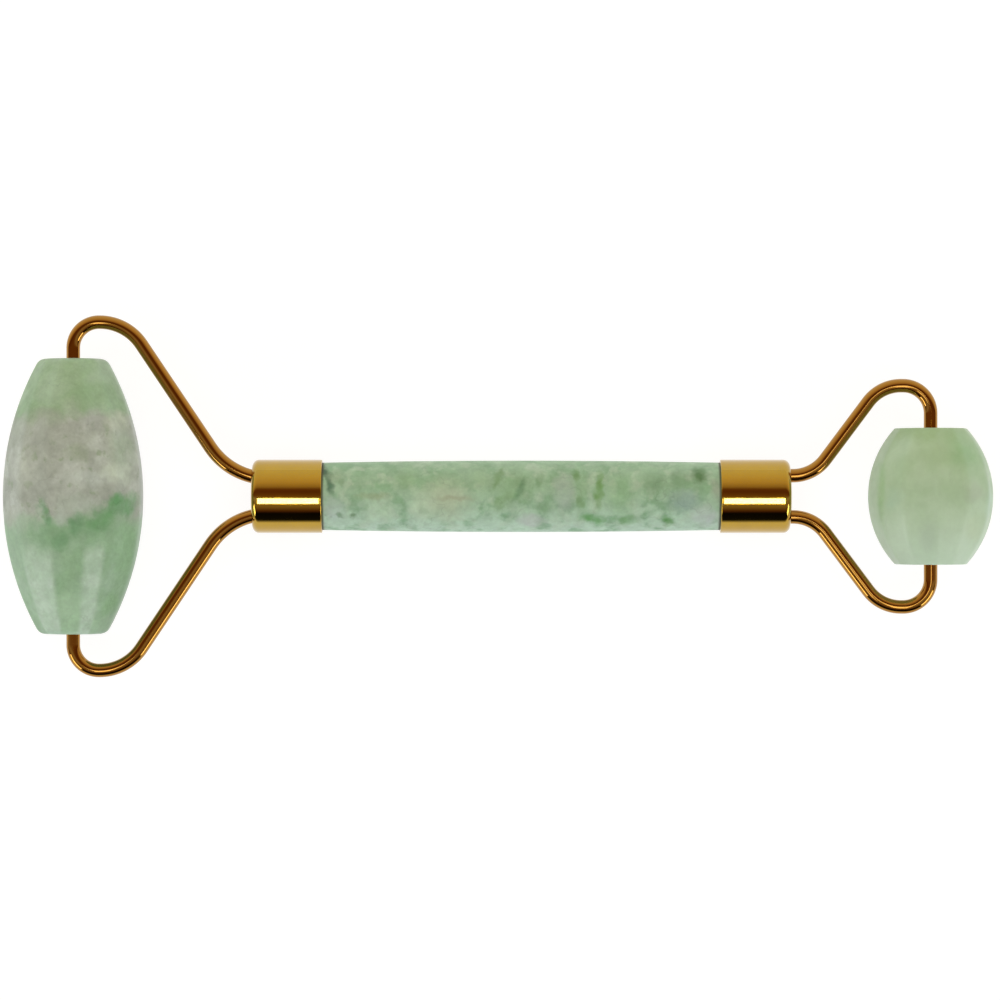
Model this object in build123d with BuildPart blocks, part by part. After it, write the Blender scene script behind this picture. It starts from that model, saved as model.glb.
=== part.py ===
"""Double-ended jade face roller: a jade handle, two wire forks and two faceted jade rollers.

+X runs along the handle from the large roller to the small one, both rollers turn about
axes parallel to Y, +Z is up when the tool lies on a table, and the origin is the middle of
the handle on its axis. Left is -Y and right is +Y. Everything is in millimetres.
"""

from build123d import *
import os
from math import cos, radians, sin, sqrt

# ---- driving dimensions ------------------------------------------------------------------

# Handle: a slightly barrelled jade rod whose plain ends are glued into two metal cups.
handle_visible_length = 57.8  # between the mouths of the two ferrules
handle_middle_radius = 5.2
handle_end_radius = 4.92
handle_end_chamfer = 0.4

# Ferrules: drawn brass cups with a rounded closed end.
glue_gap = 0.03  # radial, between a handle end and its ferrule
ferrule_wall = 0.4
ferrule_length = 10.2
ferrule_end_wall = 0.8
ferrule_corner_radius = 1.0
ferrule_mouth_fillet = 0.15

# Wire arms: two to a fork, brazed into the ferrule's closed end.
wire_radius = 1.0
wire_tail_depth = 3.4  # from the closed end's inner face to the corner of the bent tail
wire_tail_turn = 70.0  # degrees: the resin keys behind the tail
wire_tail_run = 1.9
wire_tail_bend_radius = 1.9
wire_end_chamfer = 0.2
resin_cover = 0.5  # resin beyond the wire tails, up to the handle's end

# Rollers: twelve-sided jade barrels whose long outline is one arc.
facet_count = 12
facet_edge_radius = 2.4

large_roller_x = -65.2
large_roller_length = 40.0
large_roller_across_flats = 20.1
large_roller_outline_radius = 40.8
large_roller_rim_radius = 1.5

small_roller_x = 59.6
small_roller_length = 19.8
small_roller_across_flats = 17.75
small_roller_outline_radius = 14.7
small_roller_rim_radius = 0.4

# Bores: a bush seat at each end of a stone, joined by a drilled hole.
bush_radius = 1.6
bush_recess = 0.3  # below the stone's end face
large_bush_length = 8.0
small_bush_length = 6.0
bush_overrun = 0.8  # of bush beyond the tip of the wire's pin
pin_clearance = 0.05  # radial, between the wire's pin and its bush
stone_bore_radius = 1.2
bore_mouth_chamfer = 0.25

# Fork arms: how far the shoulder, over the pin, and the elbow reach from the handle's axis,
# how far the elbow and the throat, at the ferrule, lie from the handle's middle, how far the
# tail lies from the axis, and the bend radii of shoulder, elbow and throat.
large_fork_reach = 25.35
large_fork_elbow_x = 57.45
large_fork_throat_x = 42.2
large_fork_tail_offset = 2.6
large_fork_bend_radii = [3.75, 7.3, 10.2]

small_fork_reach = 16.1
small_fork_elbow_x = 52.3
small_fork_throat_x = 42.5
small_fork_tail_offset = 3.0
small_fork_bend_radii = [4.0, 5.9, 5.9]

# ---- derived places ----------------------------------------------------------------------

ferrule_mouth_x = handle_visible_length / 2
ferrule_end_x = ferrule_mouth_x + ferrule_length
ferrule_bore_radius = handle_end_radius + glue_gap
ferrule_radius = ferrule_bore_radius + ferrule_wall
cavity_end_x = ferrule_end_x - ferrule_end_wall

tail_corner_x = cavity_end_x - wire_tail_depth
tail_tip_x = tail_corner_x - wire_tail_run * cos(radians(wire_tail_turn))
tail_drop = wire_tail_run * sin(radians(wire_tail_turn))
handle_end_x = tail_tip_x - wire_radius - resin_cover

LARGE_END, SMALL_END = -1, 1  # which way along X an end of the tool lies
LEFT, RIGHT = -1, 1  # which way along Y a side lies


# ---- handle body -------------------------------------------------------------------------


def make_handle_rod():
    """The jade handle: fullest in the middle, with a short cylinder inside each ferrule."""
    with BuildPart() as rod:
        with BuildSketch(Plane.XY):
            with BuildLine():
                crown = ThreePointArc(
                    (-ferrule_mouth_x, handle_end_radius),
                    (0, handle_middle_radius),
                    (ferrule_mouth_x, handle_end_radius),
                )
                Polyline(
                    crown @ 1,
                    (handle_end_x, handle_end_radius),
                    (handle_end_x, 0),
                    (-handle_end_x, 0),
                    (-handle_end_x, handle_end_radius),
                    crown @ 0,
                )
            make_face()
        revolve(axis=Axis.X)
        rings = rod.edges().filter_by(GeomType.CIRCLE).group_by(Axis.X)
        chamfer(rings[0] + rings[-1], handle_end_chamfer)
    rod.part.label = "handle_rod"
    return rod.part


def make_ferrule(name, end, arms):
    """A brass cup over one end of the handle. The two wires fit their holes in its closed end."""
    with BuildPart() as cup:
        with BuildSketch(Plane.XY):
            with BuildLine():
                Polyline(
                    (end * ferrule_mouth_x, ferrule_bore_radius),
                    (end * ferrule_mouth_x, ferrule_radius),
                    (end * ferrule_end_x, ferrule_radius),
                    (end * ferrule_end_x, 0),
                    (end * cavity_end_x, 0),
                    (end * cavity_end_x, ferrule_bore_radius),
                    close=True,
                )
            make_face()
        revolve(axis=Axis.X)
        rings = cup.edges().filter_by(GeomType.CIRCLE).group_by(Axis.X)
        outer_rings, mouth_rings = (rings[-1], rings[0]) if end == SMALL_END else (rings[0], rings[-1])
        fillet(outer_rings, ferrule_corner_radius)
        fillet(mouth_rings, ferrule_mouth_fillet)
        add(arms, mode=Mode.SUBTRACT)
    cup.part.label = name
    return cup.part


def make_fork_arm(name, end, side, corners, bend_radii):
    """One wire of a fork, from its pin in the stone to its bent tail in the ferrule."""
    throat_y = corners[-1][1]
    tail = [(tail_corner_x, throat_y), (tail_tip_x, throat_y - tail_drop)]
    route = [(end * x, side * y) for x, y in corners + tail]
    with BuildPart() as arm:
        with BuildLine() as centreline:
            FilletPolyline(*route, radius=bend_radii + [wire_tail_bend_radius])
        pin_tip = Plane(origin=centreline.line @ 0, z_dir=centreline.line % 0)
        with BuildSketch(pin_tip):
            Circle(wire_radius)
        sweep(path=centreline.line)
        chamfer(arm.faces().filter_by(GeomType.PLANE).edges(), wire_end_chamfer)
    arm.part.label = name
    return arm.part


def make_resin_plug(name, end, ferrule, arms):
    """Cured epoxy that fills the closed end of a ferrule and grips the tails of both wires."""
    handle_face = Plane(origin=(end * handle_end_x, 0, 0), z_dir=(end, 0, 0))
    with BuildPart() as plug:
        with BuildSketch(handle_face):
            Circle(ferrule_bore_radius)
        extrude(amount=cavity_end_x - handle_end_x)
        add(ferrule, mode=Mode.SUBTRACT)
        add(arms, mode=Mode.SUBTRACT)
    plug.part.label = name
    return plug.part


# ---- roller bodies -----------------------------------------------------------------------


def make_roller_stone(
    name, centre_x, length, across_flats, outline_radius, rim_radius, clocking, seat_depth
):
    """A faceted stone barrel, drilled along Y, with a seat for a bush at each end.

    Six slabs, one for each pair of opposite facets, are intersected. A slab's section is
    the barrel's own outline: two arcs between two flat ends. The clocking turns the facets
    about the axis, in degrees; at 0 one of them faces straight up.
    """
    half_length = length / 2
    half_width = across_flats / 2
    end_half_width = half_width - outline_radius + sqrt(outline_radius**2 - half_length**2)
    with BuildPart() as stone:
        for pair in range(facet_count // 2):
            turn = radians(clocking + pair * 360 / facet_count)
            slab = Plane(
                origin=(centre_x, 0, 0),
                x_dir=(sin(turn), 0, cos(turn)),
                z_dir=(cos(turn), 0, -sin(turn)),
            )
            with BuildSketch(slab):
                with BuildLine():
                    outline = ThreePointArc(
                        (-end_half_width, -half_length),
                        (-half_width, 0),
                        (-end_half_width, half_length),
                    )
                    Line(outline @ 0, (end_half_width, -half_length))
                    Line(outline @ 1, (end_half_width, half_length))
                    mirror(outline, about=Plane.YZ)
                make_face()
            extrude(
                amount=across_flats,
                both=True,
                mode=Mode.INTERSECT if pair else Mode.ADD,
            )
        ridges = stone.edges().filter_by(lambda edge: edge.bounding_box().size.Y > half_length)
        fillet(ridges, facet_edge_radius)
        ends = stone.faces().filter_by(Axis.Y)
        fillet(ends.edges(), rim_radius)
        for side in (LEFT, RIGHT):
            end_face = Plane(origin=(centre_x, side * half_length, 0), z_dir=(0, side, 0))
            with Locations(end_face):
                CounterBoreHole(stone_bore_radius, bush_radius, seat_depth, depth=half_length)
        mouths = stone.faces().filter_by(Axis.Y).edges().filter_by(GeomType.CIRCLE)
        mouths = mouths.filter_by(lambda edge: abs(edge.arc_center.Y) > half_length - bush_recess)
        chamfer(mouths, bore_mouth_chamfer)
    stone.part.label = name
    return stone.part


def make_bush(name, centre_x, side, roller_length, bush_length):
    """A nylon sleeve in one end of a stone's bore, in which the wire's pin runs."""
    outer_y = roller_length / 2 - bush_recess
    outer_face = Plane(origin=(centre_x, side * outer_y, 0), z_dir=(0, -side, 0))
    with BuildPart() as bush:
        with BuildSketch(outer_face):
            Circle(bush_radius)
            Circle(wire_radius + pin_clearance, mode=Mode.SUBTRACT)
        extrude(amount=bush_length)
    bush.part.label = name
    return bush.part


# ---- assembly ----------------------------------------------------------------------------


def make_fork(size, end, pin_tip_y, pin_x, reach, elbow_x, throat_x, tail_offset, bend_radii):
    """A ferrule, its two wire arms and the resin that holds them together."""
    corners = [(pin_x, pin_tip_y), (pin_x, reach), (elbow_x, reach), (throat_x, tail_offset)]
    arms = [
        make_fork_arm(f"{size}_fork_arm_left", end, LEFT, corners, bend_radii),
        make_fork_arm(f"{size}_fork_arm_right", end, RIGHT, corners, bend_radii),
    ]
    ferrule = make_ferrule(f"{size}_end_ferrule", end, arms)
    resin = make_resin_plug(f"{size}_end_resin_plug", end, ferrule, arms)
    return [ferrule, *arms, resin]


def make_bushes(size, centre_x, roller_length, bush_length):
    """The two bushes of one stone."""
    return [
        make_bush(f"{size}_roller_bush_left", centre_x, LEFT, roller_length, bush_length),
        make_bush(f"{size}_roller_bush_right", centre_x, RIGHT, roller_length, bush_length),
    ]


def pin_tip(roller_length, bush_length):
    """How far from the handle's axis the tip of a fork arm's pin lies."""
    return roller_length / 2 - bush_recess - bush_length + bush_overrun


pieces = [
    make_handle_rod(),
    *make_fork(
        "large",
        LARGE_END,
        pin_tip(large_roller_length, large_bush_length),
        abs(large_roller_x),
        large_fork_reach,
        large_fork_elbow_x,
        large_fork_throat_x,
        large_fork_tail_offset,
        large_fork_bend_radii,
    ),
    *make_fork(
        "small",
        SMALL_END,
        pin_tip(small_roller_length, small_bush_length),
        abs(small_roller_x),
        small_fork_reach,
        small_fork_elbow_x,
        small_fork_throat_x,
        small_fork_tail_offset,
        small_fork_bend_radii,
    ),
    make_roller_stone(
        "large_roller_stone",
        large_roller_x,
        large_roller_length,
        large_roller_across_flats,
        large_roller_outline_radius,
        large_roller_rim_radius,
        clocking=0,
        seat_depth=bush_recess + large_bush_length,
    ),
    make_roller_stone(
        "small_roller_stone",
        small_roller_x,
        small_roller_length,
        small_roller_across_flats,
        small_roller_outline_radius,
        small_roller_rim_radius,
        clocking=180 / facet_count,
        seat_depth=bush_recess + small_bush_length,
    ),
    *make_bushes("large", large_roller_x, large_roller_length, large_bush_length),
    *make_bushes("small", small_roller_x, small_roller_length, small_bush_length),
]

os.makedirs("parts", exist_ok=True)
for piece in pieces:
    export_step(piece, f"parts/{piece.label}.step")
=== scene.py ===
"""Looks for the double-ended jade face roller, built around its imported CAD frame.

Metres, in the frame of the part: +X along the handle towards the small roller, +Y along
both rollers' axes, +Z up. The tool lies on a white floor, seen from straight above.
"""

from math import acos, atan2, cos, pi, radians, sin, sqrt, tan

import bmesh
import bpy
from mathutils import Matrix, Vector


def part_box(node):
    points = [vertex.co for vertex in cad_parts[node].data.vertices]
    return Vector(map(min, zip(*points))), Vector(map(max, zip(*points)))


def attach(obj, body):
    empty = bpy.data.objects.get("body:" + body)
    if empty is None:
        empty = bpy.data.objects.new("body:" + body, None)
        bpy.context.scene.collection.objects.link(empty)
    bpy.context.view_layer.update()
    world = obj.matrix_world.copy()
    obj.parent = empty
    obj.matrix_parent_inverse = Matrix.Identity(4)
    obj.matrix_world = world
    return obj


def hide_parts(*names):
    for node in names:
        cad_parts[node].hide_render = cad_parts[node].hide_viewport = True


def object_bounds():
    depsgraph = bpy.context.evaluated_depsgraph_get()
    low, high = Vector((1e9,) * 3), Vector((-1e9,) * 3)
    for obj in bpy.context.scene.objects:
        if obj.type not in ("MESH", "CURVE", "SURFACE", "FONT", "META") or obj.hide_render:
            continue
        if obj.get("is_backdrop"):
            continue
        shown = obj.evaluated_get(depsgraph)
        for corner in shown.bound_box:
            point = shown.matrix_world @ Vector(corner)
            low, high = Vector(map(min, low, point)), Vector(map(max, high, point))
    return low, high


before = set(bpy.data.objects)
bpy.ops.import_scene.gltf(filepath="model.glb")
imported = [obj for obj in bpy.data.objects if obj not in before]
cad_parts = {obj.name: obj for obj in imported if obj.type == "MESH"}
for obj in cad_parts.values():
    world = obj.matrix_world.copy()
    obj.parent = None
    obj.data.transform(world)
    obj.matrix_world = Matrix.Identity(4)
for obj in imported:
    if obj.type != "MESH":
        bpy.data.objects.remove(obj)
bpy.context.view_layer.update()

MM = 0.001

# ---- sizes, in millimetres, that the frame's boxes don't give ------------------------------

WIRE_RADIUS = 1.0
WIRE_HOLE_CLEARANCE = 0.02
PIN_OVERRUN = 0.8  # of bush beyond the tip of a wire's pin
TAIL_DEPTH = 3.4  # from a ferrule's end wall to the corner of a wire's bent tail
TAIL_TURN = radians(70)
TAIL_RUN = 1.9
TAIL_BEND_RADIUS = 1.9
FERRULE_WALL = 0.43
FERRULE_END_WALL = 0.8
FERRULE_CORNER_RADIUS = 1.0
FERRULE_LIP_RADIUS = 0.18
HANDLE_END_RADIUS = 4.9  # where the rod goes into the ferrules
HANDLE_END_CHAMFER = 0.4
BUSH_RADIUS = 1.6
STONE_BORE_RADIUS = 1.2
BORE_MOUTH_CHAMFER = 0.25
BORE_RING_DEPTH = 2.0  # from a stone's end, of the ring between the bore's mouth and its seat
FACETS = 12
LARGE_OUTLINE_RADIUS = 40.8  # of a stone's long outline
LARGE_RIM_RADIUS = 1.5  # of the edge round a stone's end
SMALL_OUTLINE_RADIUS = 14.7
SMALL_RIM_RADIUS = 0.4
RIDGE_SOFTNESS = 64  # the higher, the crisper the ridges between facets

# How finely the meshes are cut.
FACET_STEPS = 22  # points along each facet, round a stone
SIDE_STEPS = 56  # rings from a stone's waist to its rim
RIM_STEPS = 10
FACE_STEPS = 8  # rings over a stone's end face
CROWN_STEPS = 96  # rings along the handle
LIP_STEPS = 6
WALL_STEPS = 24  # rings along a ferrule
CORNER_STEPS = 14
DISC_STEPS = 4  # rings over a ferrule's end
DISC_RING_GAP = 1.2  # in millimetres
TURN_STEPS = 144  # points round a lathed piece
TUBE_STEPS = 48  # points round a wire
BEND_STEP = radians(3)
SHARP_ANGLE = radians(32)
MERGE_DISTANCE = 1e-7  # in metres


# ---- mesh helpers --------------------------------------------------------------------------


def new_object(name, vertices, faces):
    """A smooth-shaded mesh object, from points in millimetres."""
    mesh = bpy.data.meshes.new(name)
    mesh.from_pydata([[c * MM for c in v] for v in vertices], [], faces)
    mesh.validate()
    mesh.shade_smooth()
    mesh.set_sharp_from_angle(angle=SHARP_ANGLE)
    obj = bpy.data.objects.new(name, mesh)
    bpy.context.scene.collection.objects.link(obj)
    return obj


def ring_faces(rings, steps, closed_loop):
    """Quads between neighbouring rings of points, and from the last ring to the first if asked."""
    faces = []
    for i in range(rings if closed_loop else rings - 1):
        near, far = i * steps, (i + 1) % rings * steps
        for j in range(steps):
            k = (j + 1) % steps
            faces.append((near + j, near + k, far + k, far + j))
    return faces


def arc_points(centre, radius, start, end, count):
    """Points on an arc in a plane, from the start angle to the end angle."""
    return [
        (
            centre[0] + radius * cos(start + (end - start) * i / count),
            centre[1] + radius * sin(start + (end - start) * i / count),
        )
        for i in range(count + 1)
    ]


def rounded_path(corners, radii):
    """Straight runs between corners, joined by tangent arcs of the given radii."""
    points = [Vector(corners[0])]
    for i, radius in enumerate(radii, start=1):
        corner = Vector(corners[i])
        back = (Vector(corners[i - 1]) - corner).normalized()
        ahead = (Vector(corners[i + 1]) - corner).normalized()
        turn = pi - acos(max(-1, min(1, back.dot(ahead))))
        centre = corner + (back + ahead).normalized() * radius / cos(turn / 2)
        first = corner + back * radius * tan(turn / 2)
        spoke = first - centre
        last = corner + ahead * radius * tan(turn / 2) - centre
        side = 1 if spoke.x * last.y - spoke.y * last.x > 0 else -1
        start = atan2(spoke.y, spoke.x)
        count = max(2, round(turn / BEND_STEP))
        points += [Vector(p) for p in arc_points(centre, radius, start, start + side * turn, count)]
    points.append(Vector(corners[-1]))
    return points


def tube(name, path, radius, steps):
    """A round wire along a path in the XY plane, with small chamfers at both tips."""
    chamfer = radius / 4
    stations = []
    last = len(path) - 1
    for i, point in enumerate(path):
        tangent = (path[min(i + 1, last)] - path[max(i - 1, 0)]).normalized()
        stations.append((point, tangent, radius))
    first_point, first_tangent, _ = stations[0]
    last_point, last_tangent, _ = stations[-1]
    stations[0] = (first_point + first_tangent * chamfer, first_tangent, radius)
    stations[-1] = (last_point - last_tangent * chamfer, last_tangent, radius)
    stations.insert(0, (first_point, first_tangent, radius - chamfer))
    stations.append((last_point, last_tangent, radius - chamfer))
    vertices = []
    for point, tangent, size in stations:
        across = Vector((-tangent.y, tangent.x))
        for j in range(steps):
            turn = 2 * pi * j / steps
            flat = point + across * size * cos(turn)
            vertices.append((flat.x, flat.y, size * sin(turn)))
    faces = ring_faces(len(stations), steps, closed_loop=False)
    faces.append(tuple(reversed(range(steps))))
    faces.append(tuple(range(len(vertices) - steps, len(vertices))))
    return new_object(name, vertices, faces)


def lathe_x(name, profile, closed_loop):
    """Turns a profile of (x, radius) about the X axis. Points at radius 0 close the ends."""
    vertices = []
    for x, radius in profile:
        for j in range(TURN_STEPS):
            turn = 2 * pi * j / TURN_STEPS
            vertices.append((x, radius * cos(turn), radius * sin(turn)))
    faces = ring_faces(len(profile), TURN_STEPS, closed_loop)
    return new_object(name, vertices, faces)


def finish_mesh(obj):
    """Merges doubled points, turns the faces outwards and keeps edges crisp."""
    work = bmesh.new()
    work.from_mesh(obj.data)
    bmesh.ops.remove_doubles(work, verts=work.verts, dist=MERGE_DISTANCE)
    bmesh.ops.dissolve_degenerate(work, edges=work.edges, dist=MERGE_DISTANCE)
    bmesh.ops.recalc_face_normals(work, faces=work.faces)
    work.to_mesh(obj.data)
    work.free()
    obj.data.set_sharp_from_angle(angle=SHARP_ANGLE)


# ---- placement read from the frame ---------------------------------------------------------


def node_box(node):
    """The lowest and highest corner of a CAD node, in millimetres."""
    low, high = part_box(node)
    return Vector(low) / MM, Vector(high) / MM


def adopt(piece, body, slot, *nodes):
    """The piece rides on a body and stands in for CAD nodes, which are hidden. The slot is not used."""
    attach(piece, body)
    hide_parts(*nodes)


# ---- the stones ----------------------------------------------------------------------------


def barrel_half_profile(half_width, half_length, outline_radius, rim_radius, seat_depth):
    """(radius, y, share of faceting) from a barrel's waist over its end and into its bore."""
    bow_centre = half_width - outline_radius
    rim_y = half_length - rim_radius
    rim_x = bow_centre + sqrt((outline_radius - rim_radius) ** 2 - rim_y**2)
    rim_turn = atan2(rim_y, rim_x - bow_centre)
    side = arc_points((bow_centre, 0), outline_radius, 0, rim_turn, SIDE_STEPS)
    rim = arc_points((rim_x, rim_y), rim_radius, rim_turn, pi / 2, RIM_STEPS)
    profile = [(x, y, 1.0) for x, y in side + rim[1:]]
    mouth = BUSH_RADIUS + BORE_MOUTH_CHAMFER
    for step in range(1, FACE_STEPS + 1):
        inward = step / FACE_STEPS
        profile.append((rim_x + (mouth - rim_x) * inward, half_length, sqrt(1 - inward)))
    seat_y = half_length - seat_depth
    for y in (half_length - BORE_MOUTH_CHAMFER, half_length - BORE_RING_DEPTH, seat_y):
        profile.append((BUSH_RADIUS, y, 0.0))
    profile += [(STONE_BORE_RADIUS, seat_y, 0.0), (STONE_BORE_RADIUS, seat_y / 2, 0.0)]
    return profile


def facet_reach(turn, facets):
    """How far a many-sided stone with softened ridges reaches one way round its axis."""
    total = 0.0
    for facing, distance in facets:
        share = cos(turn - facing) / distance
        if share > 0:
            total += share**RIDGE_SOFTNESS
    return total ** (-1 / RIDGE_SOFTNESS)


def cut_facets(clocking, leans, depths):
    """The direction and distance of each facet, a little uneven as hand grinding leaves them."""
    step = 2 * pi / FACETS
    return [
        (radians(clocking) + i * step + radians(leans[i % len(leans)]), depths[i % len(depths)])
        for i in range(FACETS)
    ]


def stone(size, outline_radius, rim_radius, facets):
    """A faceted barrel with a stepped bore through it, in place of its CAD solid."""
    node = f"{size}_roller_stone"
    low, high = node_box(node)
    centre_x = (low.x + high.x) / 2
    half_length = high.y
    widest = max(facet_reach(turn, facets) for turn in (pi / 2, -pi / 2))
    half_width = (high.x - low.x) / 2 / widest
    bush_low, _ = node_box(f"{size}_roller_bush_right")
    half = barrel_half_profile(
        half_width, half_length, outline_radius, rim_radius, half_length - bush_low.y
    )
    profile = half + [(r, -y, share) for r, y, share in reversed(half[1:])]
    steps = FACETS * FACET_STEPS
    reach = [facet_reach(2 * pi * j / steps, facets) for j in range(steps)]
    vertices = []
    for radius, y, share in profile:
        for j in range(steps):
            turn = 2 * pi * j / steps
            r = radius * (1 + (reach[j] - 1) * share)
            vertices.append((centre_x + r * sin(turn), y, r * cos(turn)))
    faces = ring_faces(len(profile), steps, closed_loop=True)
    obj = new_object(f"{size}_stone", vertices, faces)
    finish_mesh(obj)
    adopt(obj, f"{size}_roller", f"{size}_stone_jade", node)
    return obj


# ---- the handle and its ferrules -----------------------------------------------------------


def handle_rod():
    """The barrelled jade rod, with plain chamfered ends inside the ferrules."""
    low, high = node_box("handle_rod")
    mouth = node_box("small_end_ferrule")[0].x
    middle = high.z
    bow = middle - HANDLE_END_RADIUS
    bow_radius = (mouth**2 + bow**2) / (2 * bow)
    bow_centre = (0, middle - bow_radius)
    spread = atan2(mouth, bow_radius - bow)
    crown = arc_points(bow_centre, bow_radius, pi / 2 + spread, pi / 2 - spread, CROWN_STEPS)
    end = high.x
    right = [
        (end - HANDLE_END_CHAMFER, HANDLE_END_RADIUS),
        (end, HANDLE_END_RADIUS - HANDLE_END_CHAMFER),
        (end, 0),
    ]
    left = [(-x, r) for x, r in reversed(right)]
    obj = lathe_x("jade_handle", left + crown + right, closed_loop=False)
    finish_mesh(obj)
    adopt(obj, "handle", "handle_jade", "handle_rod")
    return obj


def ferrule(size):
    """A drawn cup with a rounded closed end, a rounded lip and a hole for each wire."""
    node = f"{size}_end_ferrule"
    low, high = node_box(node)
    end = FORKS[size]["end"]
    mouth, closed = sorted((abs(low.x), abs(high.x)))
    outer = high.z
    inner = outer - FERRULE_WALL
    lip, corner = FERRULE_LIP_RADIUS, FERRULE_CORNER_RADIUS
    wall_step = (closed - mouth) / WALL_STEPS
    outside = arc_points((mouth + lip, outer - lip), lip, pi, pi / 2, LIP_STEPS)
    outside += [(mouth + i * wall_step, outer) for i in range(1, WALL_STEPS - 3)]
    outside += arc_points((closed - corner, outer - corner), corner, pi / 2, 0, CORNER_STEPS)
    outside += [(closed, i * DISC_RING_GAP) for i in reversed(range(DISC_STEPS))]
    inside = [(closed - FERRULE_END_WALL, r) for r in (0, inner)]
    inside += [(mouth + lip, inner), (mouth, inner + lip / 2)]
    obj = lathe_x(f"{size}_ferrule", [(end * x, r) for x, r in outside + inside], closed_loop=True)
    finish_mesh(obj)
    for side in (-1, 1):
        drill_wire_hole(obj, fork_path(size, side))
    adopt(obj, "handle", "gilt_brass", node)
    return obj


def drill_wire_hole(obj, path):
    """Cuts a hole through a ferrule's closed end, along the wire that comes out of it."""
    drill = tube("drill", path, WIRE_RADIUS + WIRE_HOLE_CLEARANCE, TUBE_STEPS)
    finish_mesh(drill)
    cut = obj.modifiers.new("wire_hole", "BOOLEAN")
    cut.operation = "DIFFERENCE"
    cut.solver = "EXACT"
    cut.object = drill
    graph = bpy.context.evaluated_depsgraph_get()
    mesh = bpy.data.meshes.new_from_object(obj.evaluated_get(graph))
    obj.modifiers.clear()
    obj.data = mesh
    bpy.data.objects.remove(drill)
    obj.data.shade_smooth()
    obj.data.set_sharp_from_angle(angle=SHARP_ANGLE)


# ---- the wire forks ------------------------------------------------------------------------

# Each fork's way along X, how far its elbow and throat lie from the handle's middle, how far
# its tails lie from the handle's axis, and the radii of shoulder, elbow and throat.
FORKS = {
    "large": {"end": -1, "elbow": 57.45, "throat": 42.2, "tail": 2.6, "radii": [3.75, 7.3, 10.2]},
    "small": {"end": 1, "elbow": 52.3, "throat": 42.5, "tail": 3.0, "radii": [4.0, 5.9, 5.9]},
}


def fork_path(size, side):
    """A wire's centreline, from the tip of its pin to its bent tail inside the ferrule."""
    fork = FORKS[size]
    low, high = node_box(f"{size}_fork_arm_right")
    reach = high.y - WIRE_RADIUS
    pin_x = max(abs(low.x), abs(high.x)) - WIRE_RADIUS
    bush_low, _ = node_box(f"{size}_roller_bush_right")
    ferrule_low, ferrule_high = node_box(f"{size}_end_ferrule")
    closed = max(abs(ferrule_low.x), abs(ferrule_high.x))
    tail_x = closed - FERRULE_END_WALL - TAIL_DEPTH
    corners = [
        (pin_x, bush_low.y + PIN_OVERRUN),
        (pin_x, reach),
        (fork["elbow"], reach),
        (fork["throat"], fork["tail"]),
        (tail_x, fork["tail"]),
        (tail_x - TAIL_RUN * cos(TAIL_TURN), fork["tail"] - TAIL_RUN * sin(TAIL_TURN)),
    ]
    placed = [(fork["end"] * x, side * y) for x, y in corners]
    return rounded_path(placed, fork["radii"] + [TAIL_BEND_RADIUS])


def fork_arm(size, side_name, side):
    """One bent wire: pin, shoulder, elbow, throat and tail."""
    obj = tube(f"{size}_fork_wire_{side_name}", fork_path(size, side), WIRE_RADIUS, TUBE_STEPS)
    finish_mesh(obj)
    adopt(obj, "handle", "gilt_wire", f"{size}_fork_arm_{side_name}")
    return obj


# ---- node helpers --------------------------------------------------------------------------


def paint(red, green, blue):
    """A screen colour, 0 to 255, as the linear colour that shaders use."""
    linear = []
    for channel in (red, green, blue):
        c = channel / 255
        linear.append(c / 12.92 if c <= 0.04045 else ((c + 0.055) / 1.055) ** 2.4)
    return (*linear, 1)


BLOB_CORE = 0.2  # share of a blob that is solid, before it starts to fade


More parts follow.
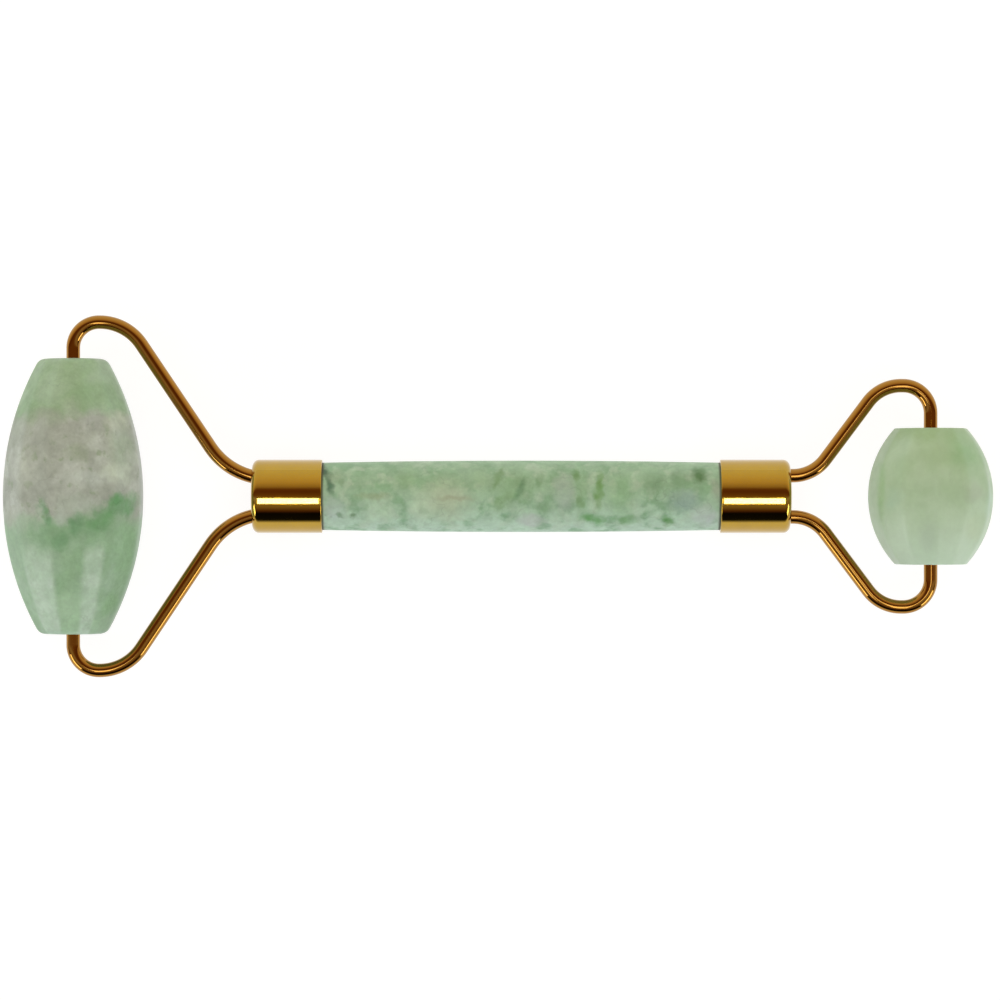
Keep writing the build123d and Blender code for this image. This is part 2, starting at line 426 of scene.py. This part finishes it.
class Recipe:
    """A material's node tree, with short ways to add nodes and layer colours."""

    def __init__(self, name):
        self.material = bpy.data.materials.new(name)
        self.material.use_nodes = True
        self.tree = self.material.node_tree
        self.tree.nodes.clear()
        self.output = self.add("ShaderNodeOutputMaterial")
        self.shader = self.add("ShaderNodeBsdfPrincipled")
        self.link(self.shader.outputs["BSDF"], self.output.inputs["Surface"])
        coordinates = self.add("ShaderNodeTexCoord").outputs["Object"]
        self.place = self.vector("SCALE", coordinates, scale=1 / MM)

    def add(self, kind, **settings):
        node = self.tree.nodes.new(kind)
        for key, value in settings.items():
            setattr(node, key, value)
        return node

    def link(self, source, target):
        self.tree.links.new(source, target)

    def feed(self, socket, value):
        """Sets a socket to a number, a colour or another node's output."""
        if isinstance(value, bpy.types.NodeSocket):
            self.link(value, socket)
        else:
            socket.default_value = value

    def vector(self, operation, first, second=(0, 0, 0), scale=1.0):
        node = self.add("ShaderNodeVectorMath", operation=operation)
        self.feed(node.inputs[0], first)
        if operation == "SCALE":
            self.feed(node.inputs["Scale"], scale)
        elif operation != "LENGTH":
            self.feed(node.inputs[1], second)
        return node.outputs["Value" if operation == "LENGTH" else "Vector"]

    def maths(self, operation, first, second=0.0):
        node = self.add("ShaderNodeMath", operation=operation)
        self.feed(node.inputs[0], first)
        self.feed(node.inputs[1], second)
        return node.outputs[0]

    def ramp(self, value, low, high, start=0.0, end=1.0):
        """A soft step: start below low, end above high."""
        node = self.add("ShaderNodeMapRange", interpolation_type="SMOOTHSTEP")
        self.feed(node.inputs["Value"], value)
        self.feed(node.inputs["From Min"], low)
        self.feed(node.inputs["From Max"], high)
        self.feed(node.inputs["To Min"], start)
        self.feed(node.inputs["To Max"], end)
        return node.outputs["Result"]

    def noise(self, scale, detail=3.0, roughness=0.5, stretch=(1, 1, 1), seed=0.0, place=None):
        """Cloudy noise, its scale in repeats per millimetre."""
        here = self.vector("MULTIPLY", place or self.place, stretch)
        node = self.add("ShaderNodeTexNoise", noise_dimensions="4D")
        self.feed(node.inputs["Vector"], here)
        self.feed(node.inputs["W"], seed)
        self.feed(node.inputs["Scale"], scale)
        self.feed(node.inputs["Detail"], detail)
        self.feed(node.inputs["Roughness"], roughness)
        return node

    def warp(self, scale, amount, seed=0.0, detail=3.0):
        """The place, pushed about by noise, so that layers get ragged edges."""
        push = self.noise(scale, detail, seed=seed).outputs["Color"]
        centred = self.vector("SUBTRACT", push, (0.5, 0.5, 0.5))
        return self.vector("ADD", self.place, self.vector("SCALE", centred, scale=amount))

    def patch(self, scale, low, high, **noise):
        """Soft-edged patches where the noise runs high."""
        return self.ramp(self.noise(scale, **noise).outputs["Fac"], low, high)

    def blob(self, place, centre, size, turn):
        """1 inside an ellipsoid, turned about Z by some degrees, fading to 0 at its edge."""
        offset = self.vector("SUBTRACT", place, centre)
        if turn:
            spin = self.add("ShaderNodeVectorRotate", rotation_type="Z_AXIS")
            self.feed(spin.inputs["Vector"], offset)
            self.feed(spin.inputs["Angle"], radians(-turn))
            offset = spin.outputs["Vector"]
        scaled = self.vector("DIVIDE", offset, size)
        return self.ramp(self.vector("LENGTH", scaled), BLOB_CORE, 1.0, 1.0, 0.0)

    def clouds(self, colour, place, blobs):
        """Lays soft, slightly uneven patches over a colour.

        Each is given by its centre, size, turn, colour and strength.
        """
        grain = self.noise(0.55, detail=4.0, seed=17.0).outputs["Fac"]
        broken = self.ramp(grain, 0.36, 0.6, 0.7, 1.0)
        for centre, size, turn, tint, strength in blobs:
            share = self.maths("MULTIPLY", self.blob(place, centre, size, turn), broken)
            share = self.maths("MULTIPLY", share, strength)
            colour = self.mix(colour, paint(*tint), share)
        return colour

    def veinlets(self, scale, width, **noise):
        """1 along thin wandering lines, 0 elsewhere."""
        level = self.noise(scale, **noise).outputs["Fac"]
        off = self.maths("ABSOLUTE", self.maths("SUBTRACT", level, 0.5))
        return self.ramp(off, 0.0, width, 1.0, 0.0)

    def split(self, place):
        """The X, Y and Z of a place, as separate outputs."""
        return self.add_linked("ShaderNodeSeparateXYZ", place).outputs

    def add_linked(self, kind, source):
        node = self.add(kind)
        self.link(source, node.inputs[0])
        return node

    def mix(self, below, above, share):
        node = self.add("ShaderNodeMix", data_type="RGBA")
        self.feed(node.inputs["Factor"], share)
        self.feed(node.inputs[6], below)
        self.feed(node.inputs[7], above)
        return node.outputs[2]

    def tone(self, colour, factor):
        """The colour made lighter or darker by a number near 1."""
        return self.vector("SCALE", colour, scale=factor)

    def bump(self, height, distance, normal=None):
        node = self.add("ShaderNodeBump")
        self.feed(node.inputs["Height"], height)
        self.feed(node.inputs["Distance"], distance)
        self.feed(node.inputs["Strength"], 1.0)
        if normal:
            self.link(normal, node.inputs["Normal"])
        return node.outputs["Normal"]

    def set(self, **values):
        """Sets the main shader's sockets. Underscores in a name stand for spaces."""
        for name, value in values.items():
            self.feed(self.shader.inputs[name.replace("_", " ")], value)


def dress(obj, material):
    """Gives an object one material, in its first slot."""
    if obj.data.materials:
        for i in range(len(obj.data.materials)):
            obj.data.materials[i] = material
    else:
        obj.data.materials.append(material)


# ---- jade ----------------------------------------------------------------------------------

JADE_GAIN = (1.06, 1.18, 1.26)  # albedo over screen colour, for the light on the stones


def jade_surface(recipe, colour, seed, mottle, hairline, polish):
    """The grain, hairlines, polish and glow that every jade piece shares."""
    grain = recipe.noise(2.4, detail=4.0, roughness=0.65, seed=seed).outputs["Fac"]
    cotton = recipe.noise(0.7, detail=4.0, roughness=0.6, seed=seed + 1).outputs["Fac"]
    colour = recipe.tone(colour, recipe.ramp(grain, 0.3, 0.7, 1 - 0.6 * mottle, 1 + 0.6 * mottle))
    colour = recipe.tone(colour, recipe.ramp(cotton, 0.3, 0.7, 1 - mottle, 1 + mottle))
    hairlines = recipe.maths(
        "MULTIPLY",
        recipe.veinlets(0.22, 0.012, detail=3.0, seed=seed + 2),
        recipe.patch(0.15, 0.5, 0.62, seed=seed + 4),
    )
    colour = recipe.mix(colour, recipe.tone(colour, 1 - hairline), hairlines)
    colour = recipe.vector("MULTIPLY", colour, JADE_GAIN)
    wear = recipe.noise(0.35, detail=3.0, seed=seed + 7).outputs["Fac"]
    pits = recipe.noise(5.0, detail=2.0, seed=seed + 3).outputs["Fac"]
    waves = recipe.noise(0.22, detail=1.0, seed=seed + 5).outputs["Fac"]
    normal = recipe.bump(waves, 0.08 * MM)
    normal = recipe.bump(pits, 0.006 * MM, normal=normal)
    recipe.set(
        Base_Color=colour,
        Roughness=recipe.ramp(wear, 0.3, 0.7, *polish),
        IOR=1.6,
        Subsurface_Weight=0.2,
        Subsurface_Radius=(0.9, 1.2, 0.8),
        Subsurface_Scale=0.6 * MM,
        Normal=normal,
    )
    return recipe.material


STRIPE_SOFTNESS = radians(3.5)


def facet_stripes(recipe, place, centre_x, facets):
    """1 on some facets of a stone, from (first, last) angles about its axis, up being 0."""
    x, _, z = recipe.split(recipe.vector("SUBTRACT", place, (centre_x, 0, 0)))
    turn = recipe.maths("ARCTAN2", x, z)
    total = 0.0
    for first, last in facets:
        start, stop = radians(first), radians(last)
        rise = recipe.ramp(turn, start - STRIPE_SOFTNESS, start + STRIPE_SOFTNESS)
        fall = recipe.ramp(turn, stop - STRIPE_SOFTNESS, stop + STRIPE_SOFTNESS, 1.0, 0.0)
        total = recipe.maths("ADD", total, recipe.maths("MULTIPLY", rise, fall))
    return total


def large_stone_jade(centre_x):
    """Green at one end, a cloudy mauve-grey belt, a deep green vein, then green with painted sheen on
    some facets.
    """
    r = Recipe("large_stone_jade")
    ragged = r.warp(0.35, 4.5, seed=1.5, detail=5.0)
    here = r.vector("SUBTRACT", ragged, (centre_x, 0, 0))
    y = r.split(here)[1]
    green = r.mix(paint(138, 163, 126), paint(150, 171, 141), r.patch(0.25, 0.4, 0.62, seed=2.0))
    lower = r.mix(paint(132, 162, 126), paint(142, 168, 137), r.patch(0.3, 0.4, 0.62, seed=6.0))
    mauve = r.mix(paint(161, 165, 152), paint(151, 155, 142), r.patch(0.45, 0.42, 0.6, seed=5.0))
    mauve = r.mix(mauve, paint(172, 176, 164), r.patch(0.3, 0.5, 0.66, seed=8.0))
    specks = r.patch(0.8, 0.55, 0.68, seed=14.0, detail=4.0)
    mauve = r.mix(mauve, paint(134, 147, 120), r.maths("MULTIPLY", specks, 0.75))
    colour = r.mix(lower, mauve, r.ramp(y, -5.0, -1.5))
    colour = r.mix(colour, green, r.ramp(y, 10.5, 13.0))
    # Painted sheen: a paler colour on some facets towards the -Y end, standing in for lamps glancing
    # off them.
    pale = r.mix(paint(164, 184, 160), paint(178, 194, 174), r.patch(0.5, 0.4, 0.65, seed=9.0))
    sheen_stripes = facet_stripes(r, r.warp(0.3, 0.8, seed=3.0), centre_x, SHEEN_FACETS)
    fade = r.ramp(y, -9.5, -5.5, 1.0, 0.0)
    colour = r.clouds(colour, here, LARGE_STONE_CLOUDS)
    colour = r.mix(colour, pale, r.maths("MULTIPLY", sheen_stripes, r.maths("MULTIPLY", fade, 0.75)))
    return jade_surface(r, colour, seed=11.0, mottle=0.08, hairline=0.12, polish=(0.42, 0.52))


# Facets that carry the painted sheen, as (first, last) degrees about the stone's axis, up being 0.
SHEEN_FACETS = [(-46, -13), (14, 34), (104, 136)]

# Patches, in millimetres from a stone's centre: (centre, size, turn, colour, strength).
LARGE_STONE_CLOUDS = [
    ((2.7, 15.0, 8), (4, 2.5, 8), 0, (128, 156, 117), 0.7),
    ((-6.5, 12.5, 6), (3, 3.5, 8), 20, (124, 154, 112), 0.75),
    ((0.5, 13.3, 9), (2.2, 2.0, 6), 0, (160, 172, 149), 0.7),
    ((-4.6, 11.2, 8), (4.0, 2.0, 8), 0, (140, 153, 128), 0.7),
    ((3.5, 10.6, 8), (4.4, 2.4, 8), 0, (152, 154, 145), 0.7),
    ((-3.5, 8.6, 8), (4.0, 3.0, 8), 0, (148, 152, 140), 0.7),
    ((7.5, 6.3, 5), (3.0, 5.0, 8), 0, (152, 166, 140), 0.8),
    ((1.5, 6.3, 9), (2.6, 1.6, 8), 0, (138, 149, 124), 0.7),
    ((3.1, 2.6, 9), (5.5, 2.0, 8), 0, (176, 182, 170), 0.8),
    ((6.6, 3.4, 6), (3.4, 2.4, 8), 0, (184, 192, 172), 0.8),
    ((-6.4, 3.4, 6), (3.0, 4.2, 8), 0, (178, 182, 168), 0.8),
    ((-7.6, 9.4, 4), (2.8, 3.6, 8), 0, (150, 157, 140), 0.7),
    ((7.0, 10.8, 5), (2.6, 2.4, 8), 0, (178, 186, 160), 0.6),
    ((-3.6, 2.0, 8), (2.2, 4.5, 8), 0, (150, 154, 142), 0.6),
    ((1.6, -0.8, 9), (4.0, 1.8, 8), 0, (158, 170, 152), 0.6),
    ((4.0, -3.8, 8), (8.5, 3.4, 9), 18, (118, 153, 113), 0.95),
    ((-3.0, -5.0, 8), (5.0, 3.2, 8), 0, (122, 155, 117), 0.9),
    ((7.2, -1.4, 6), (4.4, 2.0, 9), 20, (92, 144, 92), 0.95),
    ((4.6, -3.4, 8), (2.6, 1.6, 8), 30, (98, 142, 94), 0.9),
    ((1.4, -3.6, 9), (1.6, 2.6, 8), 10, (98, 140, 98), 0.9),
    ((-0.6, -6.4, 9), (2.0, 1.8, 8), -10, (104, 144, 102), 0.85),
    ((-3.3, -2.6, 8), (1.3, 3.0, 8), 14, (104, 146, 104), 0.95),
    ((-0.8, -2.6, 9), (1.4, 2.2, 8), 0, (166, 176, 162), 0.7),
    ((8.0, -8.0, 4), (3.4, 6.5, 8), -12, (126, 164, 118), 0.85),
    ((0.2, -10.5, 9), (2.4, 4.5, 6), 0, (136, 166, 128), 0.8),
    ((0.0, -17.5, 8), (8.0, 6.0, 9), 0, (164, 190, 156), 0.9),
    ((5.9, -15.5, 5), (1.6, 3.4, 6), -15, (122, 160, 112), 0.8),
    ((-7.4, -8.0, 5), (2.2, 5.0, 7), 15, (136, 163, 131), 0.8),
    ((-8.4, -2.6, 4), (2.0, 2.4, 8), 0, (164, 168, 152), 0.7),
    ((-6.2, -4.6, 6), (2.2, 2.4, 8), 0, (160, 175, 154), 0.7),
]


def small_stone_jade(centre_x):
    """An even pale green, greener towards one shoulder, with painted sheen that makes it paler towards
    the -Y end.
    """
    r = Recipe("small_stone_jade")
    soft = r.warp(0.3, 3.0, seed=2.5)
    here = r.vector("SUBTRACT", soft, (centre_x, 0, 0))
    y = r.split(here)[1]
    even = r.mix(paint(155, 177, 141), paint(164, 184, 151), r.patch(0.25, 0.4, 0.62, seed=4.0))
    # Painted sheen: the colour pales towards the -Y end, where the key lamp glances off the stone.
    colour = r.mix(even, paint(182, 199, 171), r.ramp(y, 2.0, -9.5))
    colour = r.clouds(colour, here, SMALL_STONE_CLOUDS)
    return jade_surface(r, colour, seed=21.0, mottle=0.025, hairline=0.04, polish=(0.38, 0.48))


SMALL_STONE_CLOUDS = [
    ((0.0, 9.6, 6), (12.0, 2.6, 9), 0, (140, 165, 116), 0.8),
    ((4.5, 6.2, 6), (4.5, 4.0, 8), -20, (134, 167, 119), 0.85),
    ((0.0, 6.5, 8), (4.0, 3.5, 8), 0, (150, 172, 130), 0.5),
    ((-7.6, 1.0, 4), (0.9, 7.0, 5), 0, (142, 175, 124), 0.7),
    ((5.6, 0.6, 6), (2.4, 2.4, 7), 0, (157, 168, 144), 0.6),
    ((8.0, -0.6, 3), (1.2, 3.5, 6), 0, (158, 184, 158), 0.6),
    ((-5.8, -0.2, 6), (1.6, 2.2, 7), 0, (156, 182, 156), 0.5),
    ((6.0, -4.6, 5), (3.0, 3.0, 7), 0, (174, 188, 152), 0.5),
    ((-1.0, -5.5, 8), (2.4, 3.0, 7), 0, (166, 181, 158), 0.5),
]


def handle_jade(mouth):
    """Mottled grey-green: beige to one side, green streaks in the middle, lilac at the far end, with
    painted light on the -Y side and painted shade at the ferrule mouths.
    """
    r = Recipe("handle_jade")
    ragged = r.warp(0.8, 1.8, seed=6.5, detail=5.0)
    y = r.split(ragged)[1]
    # Painted light: the rod is lighter towards its -Y side, where the key lamp falls.
    lit = r.mix(paint(143, 171, 139), paint(169, 191, 166), r.ramp(y, 2.0, -5.0))
    mottled = r.mix(lit, paint(128, 161, 125), r.patch(0.4, 0.46, 0.64, seed=3.0, detail=5.0))
    pale = r.maths("MULTIPLY", r.patch(0.45, 0.5, 0.66, seed=13.0, detail=4.0), 0.7)
    colour = r.mix(mottled, paint(166, 184, 158), pale)
    colour = r.clouds(colour, ragged, HANDLE_CLOUDS)
    # Painted shade: a dark line round the rod just inside each ferrule mouth, where the gap lies in
    # shadow.
    straight_x = r.maths("ABSOLUTE", r.split(r.place)[0])
    painted_mouth_shade = r.ramp(straight_x, mouth - 0.4, mouth - 0.1)
    colour = r.mix(colour, paint(62, 60, 40), r.maths("MULTIPLY", painted_mouth_shade, 0.85))
    return jade_surface(r, colour, seed=31.0, mottle=0.08, hairline=0.15, polish=(0.5, 0.62))


HANDLE_CLOUDS = [
    ((-28.6, 3.8, 4), (0.8, 2.6, 5), 35, (56, 86, 58), 1.0),
    ((-27.7, 1.8, 5), (0.8, 2.2, 5), 12, (76, 110, 84), 1.0),
    ((-26.9, 3.0, 5), (1.6, 1.6, 5), 0, (146, 162, 132), 0.6),
    ((-27.0, -2.0, 5), (2.2, 2.6, 5), 0, (170, 182, 172), 0.7),
    ((-24.4, -2.8, 4), (0.8, 0.7, 4), 0, (92, 120, 84), 0.8),
    ((-26.3, -2.8, 4), (0.8, 0.7, 4), 0, (92, 120, 84), 0.8),
    ((-26.0, 2.0, 4), (0.9, 0.7, 4), 20, (112, 138, 104), 0.6),
    ((-21.5, 0.0, 5), (3.6, 0.9, 5), 0, (138, 153, 116), 0.7),
    ((-16.6, 2.6, 5), (2.4, 2.2, 5), 12, (134, 164, 124), 0.6),
    ((-20.5, -2.2, 5), (3.4, 2.6, 5), 0, (176, 194, 166), 0.6),
    ((-11.0, -0.5, 5), (5.0, 4.6, 6), 0, (167, 179, 150), 0.85),
    ((-9.5, -0.3, 5), (4.0, 0.6, 4), 0, (150, 155, 126), 0.6),
    ((-14.4, -1.6, 5), (2.6, 3.6, 5), 0, (182, 198, 170), 0.7),
    ((-5.8, 2.6, 5), (2.2, 2.6, 5), 0, (142, 168, 132), 0.6),
    ((-3.4, 2.8, 5), (1.0, 3.0, 5), -25, (98, 134, 80), 0.8),
    ((-1.0, 1.2, 5), (3.6, 3.8, 5), -20, (122, 154, 112), 0.7),
    ((-0.2, 1.0, 5), (0.8, 2.8, 4), -25, (92, 130, 94), 0.8),
    ((-2.6, -0.7, 5), (2.8, 1.5, 4), 35, (112, 146, 94), 0.6),
    ((1.6, -3.6, 4), (3.2, 1.4, 4), 0, (174, 178, 170), 0.75),
    ((2.8, 2.2, 5), (1.0, 2.0, 4), -10, (108, 142, 102), 0.65),
    ((3.4, -1.8, 5), (2.0, 1.6, 4), 0, (124, 154, 116), 0.5),
    ((6.2, 0.5, 5), (2.2, 4.4, 5), 0, (148, 161, 146), 0.8),
    ((8.8, 0.4, 5), (1.6, 4.4, 5), 0, (122, 157, 116), 0.7),
    ((7.9, 3.0, 4), (0.9, 1.2, 4), 0, (94, 134, 74), 0.85),
    ((8.6, -0.9, 5), (0.8, 1.5, 4), 0, (112, 144, 98), 0.7),
    ((11.2, 0.8, 5), (1.0, 4.0, 5), -4, (102, 142, 80), 0.95),
    ((14.2, 0.0, 5), (3.0, 4.0, 5), 0, (134, 168, 126), 0.75),
    ((10.4, -3.3, 4), (2.8, 1.2, 4), -12, (88, 144, 76), 0.9),
    ((15.2, -3.4, 4), (2.0, 1.2, 4), 0, (98, 144, 84), 0.8),
    ((19.2, 1.8, 5), (2.6, 2.8, 5), 20, (112, 144, 108), 0.75),
    ((21.2, -3.6, 4), (1.6, 1.1, 4), -20, (78, 130, 64), 0.95),
    ((23.6, -0.8, 5), (3.4, 2.6, 5), 0, (132, 154, 140), 0.9),
    ((25.8, 3.2, 4), (2.0, 1.7, 4), 0, (72, 110, 62), 0.95),
    ((22.8, 2.4, 4), (2.0, 2.0, 4), 0, (108, 140, 104), 0.8),
    ((26.8, -3.0, 4), (3.0, 2.4, 5), 0, (172, 179, 170), 0.85),
    ((28.2, 1.0, 4), (1.2, 2.2, 4), 0, (146, 154, 134), 0.7),
]


# ---- metal, nylon and resin ----------------------------------------------------------------


def gilt(name, colour, seed, lacquer, marks, mark_depth):
    """Polished gold plating under clear lacquer, with faint marks of the polishing."""
    r = Recipe(name)
    wipe = r.noise(0.5, detail=3.0, seed=seed).outputs["Fac"]
    mark = r.noise(1.5, detail=3.0, stretch=marks, seed=seed + 2).outputs["Fac"]
    coat_weight, coat_ior = lacquer
    r.set(
        Base_Color=r.mix(paint(*colour), paint(*[0.93 * c for c in colour]), wipe),
        Metallic=1.0,
        Roughness=r.ramp(wipe, 0.3, 0.7, 0.06, 0.1),
        Coat_Weight=coat_weight,
        Coat_IOR=coat_ior,
        Coat_Roughness=0.05,
        Normal=r.bump(mark, mark_depth * MM),
    )
    return r.material


def nylon():
    """Natural white nylon, faintly cloudy."""
    r = Recipe("nylon")
    cloud = r.noise(1.2, detail=3.0, seed=1.0).outputs["Fac"]
    r.set(
        Base_Color=r.mix(paint(226, 222, 206), paint(238, 235, 222), cloud),
        Roughness=r.ramp(cloud, 0.3, 0.7, 0.45, 0.6),
        Subsurface_Weight=0.2,
        Subsurface_Radius=(1.0, 0.9, 0.7),
        Subsurface_Scale=0.6 * MM,
        Normal=r.bump(r.noise(6.0, detail=2.0).outputs["Fac"], 0.01 * MM),
    )
    return r.material


def epoxy():
    """Cured amber adhesive with a few cloudy swirls."""
    r = Recipe("epoxy")
    swirl = r.noise(0.8, detail=4.0, place=r.warp(0.5, 2.0), seed=8.0).outputs["Fac"]
    r.set(
        Base_Color=r.mix(paint(206, 190, 140), paint(184, 160, 104), swirl),
        Roughness=r.ramp(swirl, 0.3, 0.7, 0.25, 0.4),
        Normal=r.bump(swirl, 0.05 * MM),
    )
    return r.material


# ---- make and place everything -------------------------------------------------------------

# Leans are in degrees and depths are shares of the barrel's half width.
LARGE_FACETS = cut_facets(0, [0.4, -0.6, 0.2, -0.3, 0.7], [0.995, 1.0, 0.992, 0.998])
SMALL_FACETS = cut_facets(15, [0.5, -0.4, 0.3, -0.7], [0.995, 1.0, 0.993])

large_stone = stone("large", LARGE_OUTLINE_RADIUS, LARGE_RIM_RADIUS, LARGE_FACETS)
small_stone = stone("small", SMALL_OUTLINE_RADIUS, SMALL_RIM_RADIUS, SMALL_FACETS)
handle = handle_rod()
ferrules = [ferrule(size) for size in FORKS]
large_arms = [fork_arm("large", "left", -1), fork_arm("large", "right", 1)]
small_arms = [fork_arm("small", "left", -1), fork_arm("small", "right", 1)]
arms = large_arms + small_arms


def middle_x(node):
    """How far along X a node's middle lies, in millimetres."""
    low, high = node_box(node)
    return (low.x + high.x) / 2


dress(large_stone, large_stone_jade(middle_x("large_roller_stone")))
dress(small_stone, small_stone_jade(middle_x("small_roller_stone")))
dress(handle, handle_jade(node_box("small_end_ferrule")[0].x))
ferrule_gold = gilt(
    "ferrule_gold", (184, 147, 24), 1.0, lacquer=(0.45, 1.8), marks=(0.4, 6.0, 6.0), mark_depth=0.002
)
wire_gold = gilt(
    "wire_gold", (168, 118, 16), 5.0, lacquer=(0.25, 2.1), marks=(0.3, 0.3, 0.3), mark_depth=0.003
)
for piece in ferrules:
    dress(piece, ferrule_gold)
for piece in arms:
    dress(piece, wire_gold)

bush_nylon, resin = nylon(), epoxy()
for node_name, node_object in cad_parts.items():
    if "bush" in node_name:
        dress(node_object, bush_nylon)
    if "resin" in node_name:
        dress(node_object, resin)


# ---- floor, light and camera ---------------------------------------------------------------


FLOOR_HALF_WIDTH = 2500
CAMERA_HEIGHT = 0.62
CAMERA_SHIFT = (0.2 * MM, -0.54 * MM)
TOOL_SHARE = 0.989  # of the picture's width that the tool fills
SENSOR_WIDTH = 36


def floor():
    """A white light-table top, which touches the underside of both stones."""
    large_x, small_x = middle_x("large_roller_stone"), middle_x("small_roller_stone")
    large_z = node_box("large_roller_stone")[0].z
    small_z = node_box("small_roller_stone")[0].z
    slope = (small_z - large_z) / (small_x - large_x)
    vertices = [
        (x * FLOOR_HALF_WIDTH, y * FLOOR_HALF_WIDTH, large_z + slope * (x * FLOOR_HALF_WIDTH - large_x))
        for x, y in ((-1, -1), (1, -1), (1, 1), (-1, 1))
    ]
    obj = new_object("floor", vertices, [(0, 1, 2, 3)])
    r = Recipe("floor_white")
    r.set(
        Base_Color=r.mix(
            paint(126, 126, 126),
            paint(132, 132, 132),
            r.noise(0.02, detail=2.0).outputs["Fac"],
        ),
        Roughness=0.9,
        Specular_IOR_Level=0.1,
        Emission_Color=paint(255, 255, 255),
        Emission_Strength=0.86,
    )
    dress(obj, r.material)
    obj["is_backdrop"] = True


def sky():
    """A soft white studio: dim overhead and on the -Y side, where the room is left dark."""
    world = bpy.data.worlds.new("studio")
    bpy.context.scene.world = world
    world.use_nodes = True
    tree = world.node_tree
    tree.nodes.clear()

    def add(kind, **settings):
        node = tree.nodes.new(kind)
        for key, value in settings.items():
            setattr(node, key, value)
        return node

    def link(source, target):
        tree.links.new(source, target)

    split = add("ShaderNodeSeparateXYZ")
    link(add("ShaderNodeTexCoord").outputs["Generated"], split.inputs[0])
    swing = add("ShaderNodeMath", operation="ARCTAN2")
    link(split.outputs["Y"], swing.inputs[0])
    link(split.outputs["Z"], swing.inputs[1])
    share = add("ShaderNodeMapRange")
    link(swing.outputs[0], share.inputs["Value"])
    share.inputs["From Min"].default_value = -pi
    share.inputs["From Max"].default_value = pi
    ramp = add("ShaderNodeValToRGB").color_ramp
    # Degrees from straight up, towards +Y, with the light that comes from there.
    bands = [
        (-180, (0.9, 0.9, 0.9)),
        (-90, (0.85, 0.82, 0.78)),
        (-85, (0.3, 0.28, 0.26)),
        (-81, (0.01, 0.01, 0.01)),
        (-54, (0.005, 0.004, 0.003)),
        (-46, (0.12, 0.045, 0.02)),
        (-34, (0.32, 0.22, 0.13)),
        (-10, (0.5, 0.45, 0.4)),
        (0, (0.24, 0.11, 0.04)),
        (14, (0.16, 0.055, 0.02)),
        (22, (0.2, 0.075, 0.025)),
        (30, (0.5, 0.34, 0.2)),
        (44, (0.8, 0.6, 0.38)),
        (62, (0.95, 0.8, 0.58)),
        (82, (1.0, 0.93, 0.8)),
        (180, (0.9, 0.9, 0.9)),
    ]
    while len(ramp.elements) < len(bands):
        ramp.elements.new(0.5)
    for element, (angle, colour) in zip(ramp.elements, bands):
        element.position = (angle + 180) / 360
        element.color = (*colour, 1)
    link(share.outputs["Result"], tree.nodes["Color Ramp"].inputs["Fac"])
    lit = add("ShaderNodeBackground")
    link(tree.nodes["Color Ramp"].outputs["Color"], lit.inputs["Color"])
    seen = add("ShaderNodeBackground")
    seen.inputs["Color"].default_value = (0.95, 0.95, 0.95, 1)
    choose = add("ShaderNodeMixShader")
    link(add("ShaderNodeLightPath").outputs["Is Camera Ray"], choose.inputs["Fac"])
    link(lit.outputs[0], choose.inputs[1])
    link(seen.outputs[0], choose.inputs[2])
    link(choose.outputs[0], add("ShaderNodeOutputWorld").inputs["Surface"])


def softbox(name, azimuth, elevation, distance, size, radiance, along_x=0.0, only_on=()):
    """A rectangular light, in degrees about Z and above the floor, and in metres.

    It faces the handle's middle, or a point so far along X from there. With only_on, the
    light falls on those pieces alone.
    """
    light = bpy.data.lights.new(name, "AREA")
    light.shape = "RECTANGLE"
    light.size, light.size_y = size
    light.energy = radiance * pi * light.size * light.size_y
    obj = bpy.data.objects.new(name, light)
    bpy.context.scene.collection.objects.link(obj)
    turn, rise = radians(azimuth), radians(elevation)
    spot = Vector((cos(rise) * cos(turn), cos(rise) * sin(turn), sin(rise))) * distance
    obj.location = spot + Vector((along_x, 0, 0))
    obj.rotation_euler = spot.to_track_quat("Z", "Y").to_euler()
    obj.visible_camera = False
    if only_on:
        receivers = bpy.data.collections.new(f"{name}_receivers")
        for piece in only_on:
            receivers.objects.link(piece)
        obj.light_linking.receiver_collection = receivers
    return obj


def camera():
    """Straight above, with a long lens, framing the whole tool from edge to edge."""
    low, high = (Vector(corner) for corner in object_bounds())
    across = (high.x - low.x) / TOOL_SHARE
    data = bpy.data.cameras.new("camera")
    data.sensor_width = SENSOR_WIDTH
    data.lens = SENSOR_WIDTH * CAMERA_HEIGHT / across
    data.clip_start, data.clip_end = 0.05, 20
    obj = bpy.data.objects.new("camera", data)
    bpy.context.scene.collection.objects.link(obj)
    obj.location = ((low.x + high.x) / 2 + CAMERA_SHIFT[0], CAMERA_SHIFT[1], CAMERA_HEIGHT)
    bpy.context.scene.camera = obj


floor()
sky()
for side_name, side, wires in (("left", -1, arms), ("right", 1, small_arms)):
    softbox(
        f"{side_name}_strip",
        azimuth=-90,
        elevation=75,
        distance=0.8,
        size=(0.1, 0.23),
        radiance=16,
        along_x=0.1 * side,
        only_on=ferrules,
    )
    softbox(
        f"{side_name}_glint",
        azimuth=-90,
        elevation=74.5,
        distance=0.8,
        size=(0.1, 0.25),
        radiance=2.8,
        along_x=0.12 * side,
        only_on=wires,
    )
    softbox(
        f"{side_name}_box",
        azimuth=-90 + 56 * side,
        elevation=18,
        distance=0.8,
        size=(0.4, 0.25),
        radiance=4.5,
    )
softbox(
    "pin_glint",
    azimuth=-90,
    elevation=88,
    distance=0.77,
    size=(0.12, 0.08),
    radiance=2.6,
    along_x=0.134,
    only_on=small_arms,
)
overhead = softbox(
    "overhead_fill", azimuth=90, elevation=90, distance=1.2, size=(1.2, 1.2), radiance=1.7
)
overhead.visible_glossy = False
camera()
bpy.context.scene.view_settings.view_transform = "Standard"
